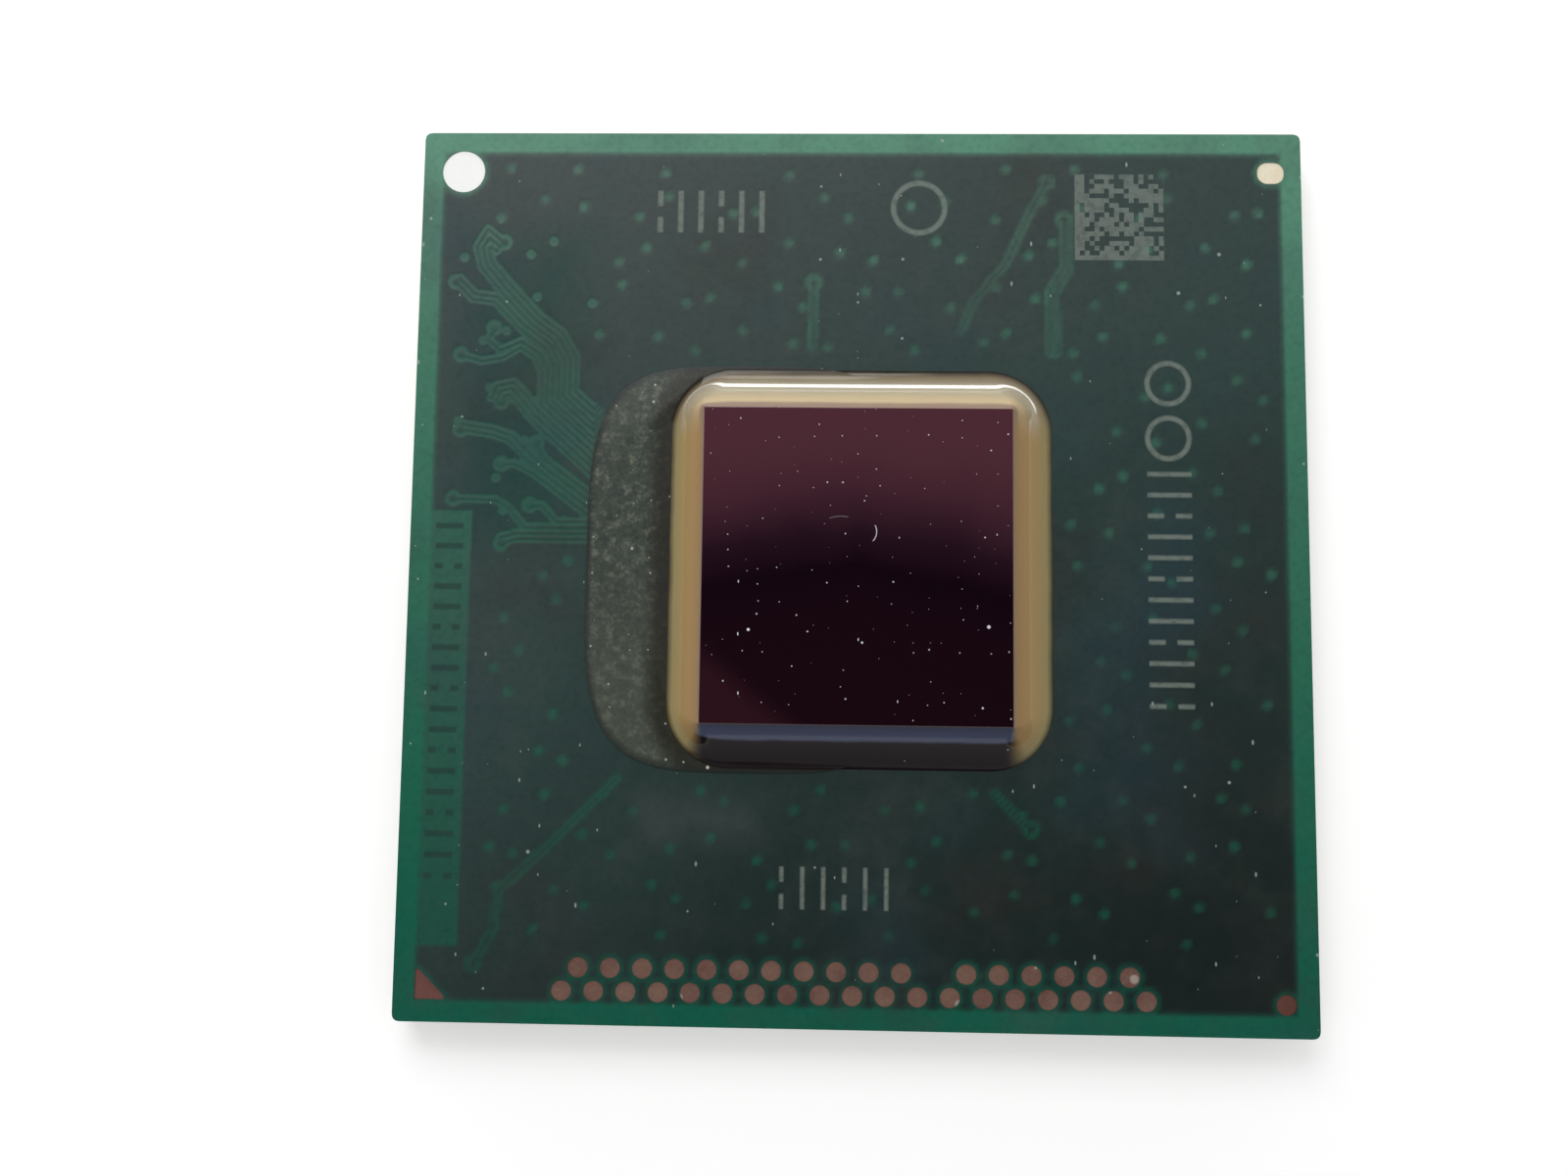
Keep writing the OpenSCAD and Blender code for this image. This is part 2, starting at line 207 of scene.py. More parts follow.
# %% A wire between shader nodes
class Wire:
    """A number that flows between shader nodes, which can be used in a sum."""

    def __init__(self, finish, socket):
        self.finish = finish
        self.socket = socket

    def sum_with(self, operation, first, second=None):
        values = {0: first} if second is None else {0: first, 1: second}
        return self.finish.node("ShaderNodeMath", {"operation": operation}, values)

    def __add__(self, other):
        return self.sum_with("ADD", self, other)

    def __radd__(self, other):
        return self.sum_with("ADD", other, self)

    def __sub__(self, other):
        return self.sum_with("SUBTRACT", self, other)

    def __rsub__(self, other):
        return self.sum_with("SUBTRACT", other, self)

    def __mul__(self, other):
        return self.sum_with("MULTIPLY", self, other)

    def __rmul__(self, other):
        return self.sum_with("MULTIPLY", other, self)

    def __truediv__(self, other):
        return self.sum_with("DIVIDE", self, other)

    def __abs__(self):
        return self.sum_with("ABSOLUTE", self)

    def root(self):
        return self.sum_with("SQRT", self)

    def at_least(self, other):
        return self.sum_with("MAXIMUM", self, other)

    def at_most(self, other):
        return self.sum_with("MINIMUM", self, other)

    def below(self, other):
        return self.sum_with("LESS_THAN", self, other)

    def wrap(self, period):
        """The remainder after whole periods, never negative."""
        return self.sum_with("FLOORED_MODULO", self, period)

    def floor(self):
        return self.sum_with("FLOOR", self)


print("besides sums a wire can do:", [name for name in vars(Wire) if not name.startswith("_")])

# %% [markdown]
# `Finish` is one material being made. It starts as a Principled shader. Values that are the same all over
# are set on the shader's own sockets, and only what changes over the surface is wired. Every pattern reads
# Object coordinates in millimetres, so it stays on the piece whatever the view.


# %% A finish under way
class Finish:
    def __init__(self, name, color, **values):
        self.material = bpy.data.materials.new(name)
        self.material.use_nodes = True
        self.tree = self.material.node_tree
        self.shader = self.tree.nodes["Principled BSDF"]
        self.material.diffuse_color = (*color, 1.0)
        self.set("Base Color", (*color, 1.0))
        for socket, value in values.items():
            self.set(socket.replace("_", " ").title().replace("Ior", "IOR"), value)

    def set(self, socket, value):
        """Sets one of the shader's sockets, to a value or to a wire."""
        target = self.shader.inputs[socket]
        if isinstance(value, Wire):
            self.tree.links.new(value.socket, target)
        else:
            target.default_value = value

    def node(self, kind, settings=None, sockets=None, output=0):
        """Adds any node: its settings first, then its sockets' values or links."""
        made = self.tree.nodes.new(kind)
        for key, value in (settings or {}).items():
            if key == "stops":
                self.set_stops(made.color_ramp, value)
            else:
                setattr(made, key, value)
        for key, value in (sockets or {}).items():
            if isinstance(value, Wire):
                self.tree.links.new(value.socket, made.inputs[key])
            else:
                made.inputs[key].default_value = value
        return Wire(self, made.outputs[output])

    @staticmethod
    def set_stops(ramp, stops):
        while len(ramp.elements) < len(stops):
            ramp.elements.new(1.0)
        for element, (place, color) in zip(ramp.elements, stops):
            element.position = place
            element.color = (*color, 1.0)

    def place(self):
        """Where a point lies on the piece, in millimetres, as one vector."""
        coordinates = self.node("ShaderNodeTexCoord", output="Object")
        return self.node("ShaderNodeVectorMath", {"operation": "SCALE"}, {0: coordinates, "Scale": 1 / MM})

    def split(self, place):
        """The same as three numbers."""
        made = self.node("ShaderNodeSeparateXYZ", sockets={0: place}).socket.node
        return [Wire(self, socket) for socket in made.outputs]

    def noise(self, place, scale, detail=3.0, roughness=0.55, stretch=None):
        if stretch:
            place = self.node("ShaderNodeVectorMath", {"operation": "MULTIPLY"}, {0: place, 1: stretch})
        return self.node("ShaderNodeTexNoise", None,
                         {"Vector": place, "Scale": scale, "Detail": detail, "Roughness": roughness})

    def step(self, value, start, end, low=0.0, high=1.0):
        """Eases from low to high while the value goes from start to end."""
        return self.node("ShaderNodeMapRange", {"interpolation_type": "SMOOTHSTEP"},
                         {"Value": value, "From Min": start, "From Max": end,
                          "To Min": low, "To Max": high})

    def blend(self, share, first, second):
        """Mixes two colours; each is a wire or three numbers."""
        values = {"Factor": share}
        for key, color in ((6, first), (7, second)):
            values[key] = color if isinstance(color, Wire) else (*color, 1.0)
        return self.node("ShaderNodeMix", {"data_type": "RGBA"}, values, output=2)

    def blend_number(self, share, first, second):
        """Mixes two numbers."""
        return self.node("ShaderNodeMix", {"data_type": "FLOAT"}, {0: share, 2: first, 3: second})

    def ramp(self, share, stops):
        return self.node("ShaderNodeValToRGB", {"stops": stops}, {"Fac": share})

    def specks(self, place, spacing, radius, amount, stretch=(1, 1, 1)):
        """Specks scattered over the board: one cell in so many holds one, each of its own size."""
        place = self.node("ShaderNodeVectorMath", {"operation": "MULTIPLY"}, {0: place, 1: stretch})
        flat = {"voronoi_dimensions": "2D"}
        cells = {"Vector": place, "Scale": 1 / spacing, "Randomness": 1.0}
        distance = self.node("ShaderNodeTexVoronoi", flat, cells) * spacing
        chance = self.split(self.node("ShaderNodeTexVoronoi", flat, cells, output="Color"))
        size = (chance[1] * chance[1] * 0.75 + 0.25) * radius
        inside = self.step(distance / size, 1.0, 0.5)
        return inside * chance[0].below(amount)

    def attribute(self, name):
        return self.node("ShaderNodeAttribute", {"attribute_name": name}, output="Fac")

    def bump(self, height, depth):
        """Wires a height from 0 to 1 as a bump, so many millimetres deep."""
        self.set("Normal", self.node("ShaderNodeBump", None,
                                     {"Height": height, "Distance": depth * MM, "Strength": 1.0}))


print("a finish can do:", [name for name in vars(Finish) if not name.startswith("_")])

# %% [markdown]
# ## The camera
#
# The chip is seen from almost straight above, from 25 mm over the board, through a wide lens. That is
# close, so the lens widens towards the front edge a little. The camera hangs from its place, looks at an
# aim point on the board, and is rolled by less than a degree.

# %% Camera
CAMERA_PLACE = (-0.995, -2.425, 25.09)  # mm from the middle of the board's top face
AIM = (-1.583, -0.460, 0.0)
ROLL = 0.743  # degrees
LENS = 26.01  # mm
SENSOR = 36.0  # mm

camera = bpy.data.objects.new("camera", bpy.data.cameras.new("camera"))
bpy.context.scene.collection.objects.link(camera)
camera.location = Vector(CAMERA_PLACE) * MM + Vector((0, 0, board_top))
aim_line = (Vector(AIM) - Vector(CAMERA_PLACE)).normalized()
look = aim_line.to_track_quat("-Z", "Y").to_matrix()
across = aim_line.cross(Vector((0, 1, 0))).normalized()
upward = across.cross(aim_line)
camera_up = upward * math.cos(math.radians(ROLL)) - across * math.sin(math.radians(ROLL))
camera_right = aim_line.cross(camera_up)
for row in range(3):
    look[row] = (camera_right[row], camera_up[row], -aim_line[row])
camera.rotation_euler = look.to_euler()
camera.data.lens = LENS
camera.data.sensor_width = SENSOR
camera.data.clip_start = 0.5 * MM
camera.data.clip_end = 10.0
bpy.context.scene.camera = camera
print("camera", [round(v / MM, 2) for v in camera.location], "mm")

# %% [markdown]
# ## The solder mask
#
# Solder mask is a thin green lacquer. Over copper it looks nearly black, and where the copper is etched
# away it looks green and sits a few microns lower. Painting that by hand would be a guess, so the CAD
# copper is asked instead: rays are dropped at every point of the mask, and the share of them that lands
# on copper becomes the attribute `copper`, which drives both the height and the colour. The fine signal
# tracks are asked alone as well, because light leaks past their edges and leaves them greener.

# %% Ask the copper
RELIEF = 0.006 * MM  # how far the mask sinks where it has no copper under it


def ray_tree(name):
    """A search tree over the faces of a CAD node."""
    piece = copy_node(name)
    points = [v.co.copy() for v in piece.data.vertices]
    faces = [list(face.vertices) for face in piece.data.polygons]
    discard(piece)
    return BVHTree.FromPolygons(points, faces)


plane_tree = ray_tree("top_copper")
track_tree = ray_tree("signal_tracks")
DOWN = Vector((0, 0, -1))


def copper_at(tree, x, y, reach):
    """The share of copper under a small square round a place on the board."""
    offsets = ((0, 0), (-reach, -reach), (reach, -reach), (-reach, reach), (reach, reach))
    hits = 0
    for dx, dy in offsets:
        hits += tree.ray_cast(Vector((x + dx, y + dy, board_top + MM)), DOWN)[0] is not None
    return hits / len(offsets)


print("copper in the middle of the label window:", copper_at(plane_tree, -9.0 * MM, -3.0 * MM, 0.02 * MM))

# %% [markdown]
# The mask starts as a grid. The squares over the fine signal tracks are divided further, the corners are
# pulled in to the board's round corners, and the rim is extruded down to make the lacquer's thickness.
# The openings over the pads are cut with copies of the pads themselves, each drawn in by the rim that
# the mask covers. Last of all the points sink where no copper carries them.

# %% Grid, corners and thickness
GRID = 240  # squares along each side of the mask
FINE_LOW = (-9.45 * MM, 0.3 * MM)  # the part with the fine signal tracks
FINE_HIGH = (-5.9 * MM, 7.9 * MM)
CORNER = 0.15 * MM  # radius of the board's corners
board_size = board_high - board_low


def is_fine(co):
    return FINE_LOW[0] < co.x < FINE_HIGH[0] and FINE_LOW[1] < co.y < FINE_HIGH[1]


def round_corner(co, half):
    """Moves a point of the square grid in to follow the board's round corners."""
    over_x = abs(co.x) - (half.x - CORNER)
    over_y = abs(co.y) - (half.y - CORNER)
    reach = math.hypot(over_x, over_y)
    if min(over_x, over_y) > 0 and reach > CORNER:
        co.x = math.copysign(half.x - CORNER + over_x * CORNER / reach, co.x)
        co.y = math.copysign(half.y - CORNER + over_y * CORNER / reach, co.y)


def model_mask_sheet():
    bpy.ops.object.select_all(action="DESELECT")
    bpy.ops.mesh.primitive_grid_add(x_subdivisions=GRID, y_subdivisions=GRID, size=1.0,
                                    location=(0, 0, board_top))
    made = bpy.context.active_object
    made.scale = (board_size.x, board_size.y, 1)
    settle(made, "solder_mask")
    pick(made, lambda middle, normal: is_fine(middle), "FACE")
    bpy.ops.mesh.subdivide(number_cuts=2)
    leave_edit()
    for v in made.data.vertices:
        round_corner(v.co, board_size / 2)
    bpy.ops.object.mode_set(mode="EDIT")
    bpy.ops.mesh.select_all(action="SELECT")
    bpy.ops.mesh.region_to_loop()
    bpy.ops.mesh.extrude_edges_move()
    leave_edit()
    for v in made.data.vertices:
        if v.select:
            v.co.z = board_low.z
    bpy.ops.object.mode_set(mode="EDIT")
    bpy.ops.mesh.edge_face_add()
    leave_edit()
    return outward(made)


mask = model_mask_sheet()
print(mask.name, len(mask.data.polygons), "faces before the cuts")

# %% Openings over the pads, the marks and the die
PAD_RIM = 0.03 * MM  # how much of a pad's edge the mask covers
SITE_MARGIN = 0.2 * MM  # bare board round the die
SPARE = 0.1 * MM  # how far a cutter stands out above and below
OPENED = ("front_test_pads", "back_test_pads", "round_corner_land", "bright_corner_land",
          "small_corner_land", "pin_one_mark")


def block(low, high, name):
    """A closed block between two corners."""
    bpy.ops.object.select_all(action="DESELECT")
    bpy.ops.mesh.primitive_cube_add(size=1.0, location=(low + high) / 2)
    made = bpy.context.active_object
    made.scale = high - low
    return settle(made, name)


def site_block(top, bottom):
    """A block with round upright edges that fills the bare die site."""
    made = block(Vector((die_low.x - SITE_MARGIN, die_low.y - SITE_MARGIN, bottom)),
                 Vector((die_high.x + SITE_MARGIN, die_high.y + SITE_MARGIN, top)), "die_site")
    pick(made, lambda a, b: abs(a.z - b.z) > (top - bottom) / 2, "EDGE")
    bpy.ops.mesh.bevel(offset=SITE_MARGIN, segments=6, affect="EDGES")
    leave_edit()
    return made


def opening_cutters(name):
    """One cutter for each solid of a node, smaller all round by the covered rim."""
    cutters = loose_parts(copy_node(name))
    for part in cutters:
        points = np.array([v.co for v in part.data.vertices])
        low, high = points.min(0), points.max(0)
        middle = (low + high) / 2
        shrink = (high - low - 2 * PAD_RIM) / (high - low)
        for v in part.data.vertices:
            v.co.x = middle[0] + (v.co.x - middle[0]) * shrink[0]
            v.co.y = middle[1] + (v.co.y - middle[1]) * shrink[1]
            v.co.z = board_top + SPARE if v.co.z > middle[2] else board_low.z - SPARE
    return cutters


def boolean(piece, operation, other):
    apply_modifier(piece, "BOOLEAN", operation=operation, solver="EXACT", object=other)
    discard(other)


cutters = [part for name in OPENED for part in opening_cutters(name)]
cutters.append(site_block(board_top + SPARE, board_low.z - SPARE))
boolean(mask, "DIFFERENCE", join(cutters, "opening_cutter"))
print(mask.name, len(mask.data.polygons), "faces after the cuts")

# %% Let the mask sink where it has no copper under it
SHARE_OF_SQUARE = 0.35  # how far round a point the rays are dropped
SHARE_IF_FINE = 0.15
for key in ("copper", "track"):
    mask.data.attributes.new(key, "FLOAT", "POINT")
copper_share = mask.data.attributes["copper"].data
track_share = mask.data.attributes["track"].data
square = board_size.x / GRID
for copper, track, v in zip(copper_share, track_share, mask.data.vertices):
    reach = square * (SHARE_IF_FINE if is_fine(v.co) else SHARE_OF_SQUARE)
    track.value = copper_at(track_tree, v.co.x, v.co.y, reach)
    copper.value = max(track.value, copper_at(plane_tree, v.co.x, v.co.y, reach))
    if v.co.z > board_top - 0.1 * RELIEF:
        v.co.z -= RELIEF * (1 - copper.value)
carried = sum(copper.value for copper in copper_share) / len(copper_share)
print("share of the mask's points that lie on copper:", round(carried, 2))
smooth(mask, 20)

# %% [markdown]
# ## Laser marks
#
# The chip carries codes burnt into the lacquer as pale grey lines. Codes belong to one maker, so plain
# upright tallies, rings and a square of ticks stand at the same places here. They are drawn with sums, so
# they stay crisp at any distance: each returns a share that is 1 on a line and 0 beside it.


# %% Shapes drawn with sums
def ring(finish, x, y, middle, radius, width, soft=0.03):
    """1 on a thin circle."""
    dx = x - middle[0]
    dy = y - middle[1]
    distance = (dx * dx + dy * dy).root()
    return finish.step(abs(distance - radius), width * 0.5 + soft, width * 0.5 - soft)


def inside_box(finish, x, y, low, high, soft=0.04):
    """1 inside an upright rectangle, with soft edges."""
    middle = [(a + b) / 2 for a, b in zip(low, high)]
    half = [(b - a) / 2 for a, b in zip(low, high)]
    far = (abs(x - middle[0]) - half[0]).at_least(abs(y - middle[1]) - half[1])
    return finish.step(far, soft * 0.5, soft * -0.5)


def tallies(finish, along, across, start, count, pitch, low, high, width):
    """A row of upright strokes; every third one is split in two."""
    end = start + count * pitch
    cell = (along - start).wrap(pitch)
    number = ((along - start) / pitch).floor()
    stroke = finish.step(abs(cell - pitch / 2), width * 0.5 + 0.03, width * 0.5 - 0.03)
    split = finish.step(abs(across - (low + high) / 2), 0.16, 0.10) * number.wrap(3).below(0.5)
    return inside_box(finish, along, across, (start, low), (end, high)) * stroke * (1 - split)


def tick_square(finish, x, y, low, size, cells):
    """A square patch of small cells, over half of them filled, with a solid left and lower edge."""
    u = ((x - low[0]) / (size / cells)).floor()
    v = ((y - low[1]) / (size / cells)).floor()
    cell = finish.node("ShaderNodeCombineXYZ", None, {0: u, 1: v})
    chance = finish.node("ShaderNodeTexWhiteNoise", {"noise_dimensions": "2D"}, {"Vector": cell})
    edges = u.below(0.5).at_least(v.below(0.5))
    box = inside_box(finish, x, y, low, (low[0] + size, low[1] + size))
    return box * chance.below(0.6).at_least(edges)


print("shapes to draw with:", ring.__name__, inside_box.__name__, tallies.__name__, tick_square.__name__)


# %% Places of the marks, in millimetres
RINGS = (((1.38, 8.25), 0.58, 0.12), ((6.94, 4.22), 0.46, 0.11), ((6.94, 2.98), 0.46, 0.11))
BACK_ROW = (-4.75, 6, 0.464, 7.66, 8.64, 0.12)  # start, strokes, pitch, foot, head, width of a stroke
FRONT_ROW = (-1.79, 6, 0.457, -7.46, -6.55, 0.09)
RIGHT_ROW = (-3.20, 12, 0.467, 6.46, 7.44, 0.10)
LABEL_ROW = (-7.1, 18, 0.455, -9.42, -8.80, 0.13)
LABEL_LOW, LABEL_HIGH = (-9.9, -8.38), (-8.62, 1.22)
TICKS_LOW, TICKS_SIZE, TICKS = (4.90, 7.05), 2.0, 18


def laser_marks(finish, x, y):
    """All marks on the top of the board, as one share from 0 to 1."""
    made = tick_square(finish, x, y, TICKS_LOW, TICKS_SIZE, TICKS) * 0.9
    for row in (BACK_ROW, FRONT_ROW):
        made = made.at_least(tallies(finish, x, y, *row))
    made = made.at_least(tallies(finish, y, x, *RIGHT_ROW))
    for middle, radius, width in RINGS:
        made = made.at_least(ring(finish, x, y, middle, radius, width))
    return made


print(len(RINGS), "rings, 4 rows of strokes and a square of", TICKS, "by", TICKS, "ticks")

# %% [markdown]
# The lacquer's colour runs from near black over copper to bottle green over bare laminate. The rim of
# the board has no copper in any layer, so there it is greener still. Faint clouds, dust and the worn
# laser marks lie on top. Only the colour, the roughness and a shallow bump change over the surface.


# %% Solder mask finish
BARE_EDGE = 9.45, 9.6  # mm from the middle, where the rim without copper begins
SWATH_LOW, SWATH_HIGH = (-9.0, 0.6), (-6.3, 7.4)  # the stretch with the fine tracks
SMEAR_LOW, SMEAR_HIGH = (-5.6, -5.8), (-3.4, -5.4)
CLOUDS = (  # scale and detail of the noise, its start and end, the cloud's strength and colour
    (0.23, 2.0, 0.52, 0.75, 0.30, tone(40, 62, 78)),
    (0.55, 4.0, 0.45, 0.80, 0.25, tone(66, 76, 72)),
    (0.37, 3.0, 0.50, 0.75, 0.25, tone(56, 46, 46)),
    (6.50, 4.0, 0.40, 0.75, 0.16, tone(14, 24, 24)),
)


def mask_finish():
    finish = Finish("solder_mask_top", tone(48, 66, 62), roughness=0.42, specular_ior_level=0.22)
    place = finish.place()
    x, y, _ = finish.split(place)
    # the dark field is painted paler and warmer towards the back left and darkest at the front, a painted
    # sheen of the light from the back
    painted_sheen_drift = y * 0.8 - x * 0.45 + (finish.noise(place, 0.12, 2.0) - 0.5) * 6
    dark = finish.ramp(finish.step(painted_sheen_drift, -12.0, 12.0),
                       [(0.0, tone(14, 28, 26)), (0.5, tone(48, 68, 65)), (1.0, tone(62, 74, 72))])
    # the bare green is painted lighter towards the back, the same painted sheen
    green = finish.ramp(finish.step(y, -10.0, 10.0),
                        [(0.0, tone(8, 92, 72)), (0.15, tone(22, 102, 78)),
                         (0.85, tone(66, 122, 100)), (1.0, tone(90, 144, 120))])
    # no copper plane lies under the fine tracks, so the lacquer is greener all over that stretch
    swath = inside_box(finish, x, y, SWATH_LOW, SWATH_HIGH, 2.2)
    dark = finish.blend(swath * 0.65, dark, tone(16, 64, 58))
    # the small round openings show faintly, some more than others
    faint = (finish.noise(place, 0.8, 1.0) - 0.5) * 0.7 + 0.56
    bare = finish.blend(finish.blend_number(swath, faint, 0.62), green, dark)
    over_copper = finish.blend(finish.attribute("track") * swath * 0.34, dark, green)
    label = inside_box(finish, x, y, LABEL_LOW, LABEL_HIGH, 0.1)
    bare = finish.blend(label, bare, finish.blend(0.45, green, over_copper))
    bare = finish.blend(finish.step(abs(x).at_least(abs(y)), *BARE_EDGE), bare, green)
    base = finish.blend(finish.attribute("copper"), bare, over_copper)
    for scale, detail, start, end, strength, color in CLOUDS:
        cloud = finish.step(finish.noise(place, scale, detail), start, end)
        base = finish.blend(cloud * strength, base, color)
    smear = inside_box(finish, x + y * 0.2, y, SMEAR_LOW, SMEAR_HIGH, 1.5)
    base = finish.blend(smear * finish.noise(place, 1.5, 3.0) * 0.65, base, tone(88, 92, 94))
    label_marks = tallies(finish, y, x, *LABEL_ROW) * label
    base = finish.blend(label_marks * 0.6, base, tone(34, 52, 52))
    marks = laser_marks(finish, x, y)
    worn = finish.step(finish.noise(place, 7.0, 2.0), 0.25, 0.6, 0.55, 0.95)
    base = finish.blend(marks * worn * 0.8, base, tone(122, 132, 124))
    dust = finish.specks(place, 0.9, 0.055, 0.13)
    dust = dust.at_least(finish.specks(place, 1.3, 0.1, 0.1, (3, 1.4, 1)))
    finish.set("Base Color", finish.blend(dust * 0.55, base, tone(178, 190, 184)))
    sheen = finish.step(finish.noise(place, 2.2, 4.0), 0.2, 0.8, 0.36, 0.5)
    finish.set("Roughness", sheen + marks * 0.2)
    finish.bump(finish.noise(place, 9.0, 3.0) + marks * -0.8, 0.0016)
    return finish.material


finish_piece(mask, mask_finish(), "solder_mask", "top_mask")

# %% [markdown]
# ## The underfill
#
# Liquid epoxy is run along one side of the die, creeps under it and climbs its sides. It cures as a
# hollow fillet all round, and what was spilled on the left stays as a thin film. The fillet is bridged
# between two outlines, a rectangle at the die's edge and one with broad corners on the board, and every
# cut between them is let down onto the hollow slope.

# %% Fillet sizes
under_low, under_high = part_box("underfill")
LIP = 0.012 * MM  # the epoxy's thin upper edge
LIP_DROP = 0.03 * MM  # how far the lip stays below the die's top
FOOT_CORNER = 1.4 * MM  # radius of the foot's corners
LEFT_REACH = 0.80 * MM  # from the die's side to the foot
FRONT_REACH = 1.00 * MM
BACK_REACH = 1.03 * MM
HOLLOW = 1.6  # 1 makes the slope straight, more makes it hollower
CUTS = 40
foot_low = Vector((die_low.x - LEFT_REACH, die_low.y - FRONT_REACH, board_top))
foot_high = Vector((under_high.x, die_high.y + BACK_REACH, board_top))
lip_z = die_high.z - LIP_DROP
print("the fillet's foot is", [round(v / MM, 2) for v in (foot_high - foot_low).xy], "mm")


def ring_at(s):
    """Corner radius and the two ends of the fillet's ring that lies a share s of the way out."""
    start = Vector((LIP, LIP, 0))
    low = (die_low - start) * (1 - s) + foot_low * s
    high = (die_high + start) * (1 - s) + foot_high * s
    return LIP + (FOOT_CORNER - LIP) * s, low, high


def share_out(x, y):
    """How far a place lies from the die's edge (0) to the fillet's foot (1)."""
    near, far = 0.0, 1.0
    for _ in range(20):
        s = (near + far) / 2
        radius, low, high = ring_at(s)
        dx = max(low.x + radius - x, x - (high.x - radius), 0.0)
        dy = max(low.y + radius - y, y - (high.y - radius), 0.0)
        if math.hypot(dx, dy) > radius:
            near = s
        else:
            far = s
    return (near + far) / 2


# %% Model the fillet
LEVEL = 0.00001 * MM  # two heights closer than this are the same
AT_RIM = 0.001  # a share out this close to 0 or 1 lies on the lip or the foot


def outline(low, high, z, radius, name):
    """A flat rectangle with round corners, as an open loop of points."""
    bpy.ops.object.select_all(action="DESELECT")
    bpy.ops.mesh.primitive_plane_add(size=1.0, location=((low.x + high.x) / 2, (low.y + high.y) / 2, z))
    loop = bpy.context.active_object
    loop.scale = (high.x - low.x, high.y - low.y, 1)
    settle(loop, name)
    pick_all(loop)
    bpy.ops.mesh.bevel(offset=radius, segments=14, affect="VERTICES")
    bpy.ops.mesh.select_all(action="SELECT")
    bpy.ops.mesh.delete(type="ONLY_FACE")
    leave_edit()
    return loop


def close_loop(piece, z):
    """Fills the open loop of edges that lies at one height."""
    pick(piece, lambda a, b: max(abs(a.z - z), abs(b.z - z)) < LEVEL, "EDGE")
    bpy.ops.mesh.edge_face_add()
    leave_edit()


def model_fillet():
    _, low, high = ring_at(0.0)
    inner = outline(low, high, lip_z, LIP, "lip")
    outer = outline(foot_low, foot_high, board_top, FOOT_CORNER, "foot")
    made = join([inner, outer], "underfill_fillet")
    pick_all(made)
    bpy.ops.mesh.bridge_edge_loops(number_cuts=CUTS, interpolation="LINEAR")
    leave_edit()
    for v in made.data.vertices:
        s = share_out(v.co.x, v.co.y)
        v.co.z = board_top + (lip_z - board_top) * (1 - s) ** HOLLOW
        if s < AT_RIM:
            v.co.z = lip_z
        if s > 1 - AT_RIM:
            v.co.z = board_top
    close_loop(made, lip_z)
    close_loop(made, board_top)
    return outward(made)


fillet = model_fillet()
print(fillet.name, len(fillet.data.polygons), "faces")

# %% [markdown]
# The spilled film is a squarish oval: a circle whose points are pushed out towards the corners by taking
# the square root of their sine and cosine. It is extruded to a film thinner than a hair and its rim is
# bevelled, because surface tension rounds it. Then the solids are joined, and the die's place is cut out.

# %% Model the spilled film
FILM = 0.03 * MM  # its thickness
FILM_RIM = 0.02 * MM  # width of the rounded rim
FILM_SINK = 0.002 * MM  # lets the film and the mask overlap, so that no slit shows
FILM_INSET = 1.0 * MM  # the oval's middle lies this far inside the die's left side
film_middle = die_low.x + FILM_INSET
film_reach = film_middle - under_low.x
film_half = under_high.y


def squarish(value):
    """Pushes a sine or cosine out towards 1 or -1."""
    return math.copysign(math.sqrt(abs(value)), value)


def model_film():
    bpy.ops.object.select_all(action="DESELECT")
    bpy.ops.mesh.primitive_circle_add(vertices=160, radius=1.0, fill_type="NGON", location=(0, 0, 0))
    made = settle(bpy.context.active_object, "spilled_film")
    for v in made.data.vertices:
        v.co = (film_middle + film_reach * squarish(v.co.x), film_half * squarish(v.co.y),
                board_top - FILM_SINK)
    pick_all(made)
    bpy.ops.mesh.extrude_region_move(TRANSFORM_OT_translate={"value": (0, 0, FILM + FILM_SINK)})
    bpy.ops.mesh.bevel(offset=FILM_RIM, segments=2, affect="EDGES")
    leave_edit()
    return outward(made)


boolean(fillet, "UNION", model_film())
boolean(fillet, "UNION", site_block(board_top, board_low.z))
boolean(fillet, "DIFFERENCE", block(Vector(die_low), die_high + Vector((0, 0, MM)), "die_place"))
settle(fillet, "underfill_body")
smooth(fillet, 25)
print(fillet.name, len(fillet.data.polygons), "faces")

# %% [markdown]
# Cured underfill is cream to tan. Its back is painted lighter as if lit from behind, its front is painted
# shade with a painted bluish reflection near the die, and a painted shadow darkens its foot. The finish
# works out two distances from the drawing: how far a point is from the die's edge and how far from the
# fillet's foot. Beyond the foot lies the film, which is grey, grainy and dusty, with a dark rim and a
# painted shadow beside the fillet.


# %% Where a point of the fillet lies
die_right, die_back, die_top = die_high / MM
die_front = die_low.y / MM


def box_distance(x, y, low, high, radius):
    """Distance outside a rectangle with round corners, and less than nothing inside it."""
    middle = (low + high) / 2 / MM
    half = (high - low) / 2 / MM
    dx = abs(x - middle.x) - (half.x - radius)
    dy = abs(y - middle.y) - (half.y - radius)
    px, py = dx.at_least(0.0), dy.at_least(0.0)
    return (px * px + py * py).root() + dx.at_least(dy).at_most(0.0) - radius


def share_along(x, y):
    """How far a point lies from the die's edge (0) to the foot (1), and its distance past the foot."""
    from_die = box_distance(x, y, die_low, die_high, 0.001).at_least(0.0)
    from_foot = box_distance(x, y, foot_low, foot_high, FOOT_CORNER / MM)
    return from_die / (from_die - from_foot).at_least(0.01), from_foot


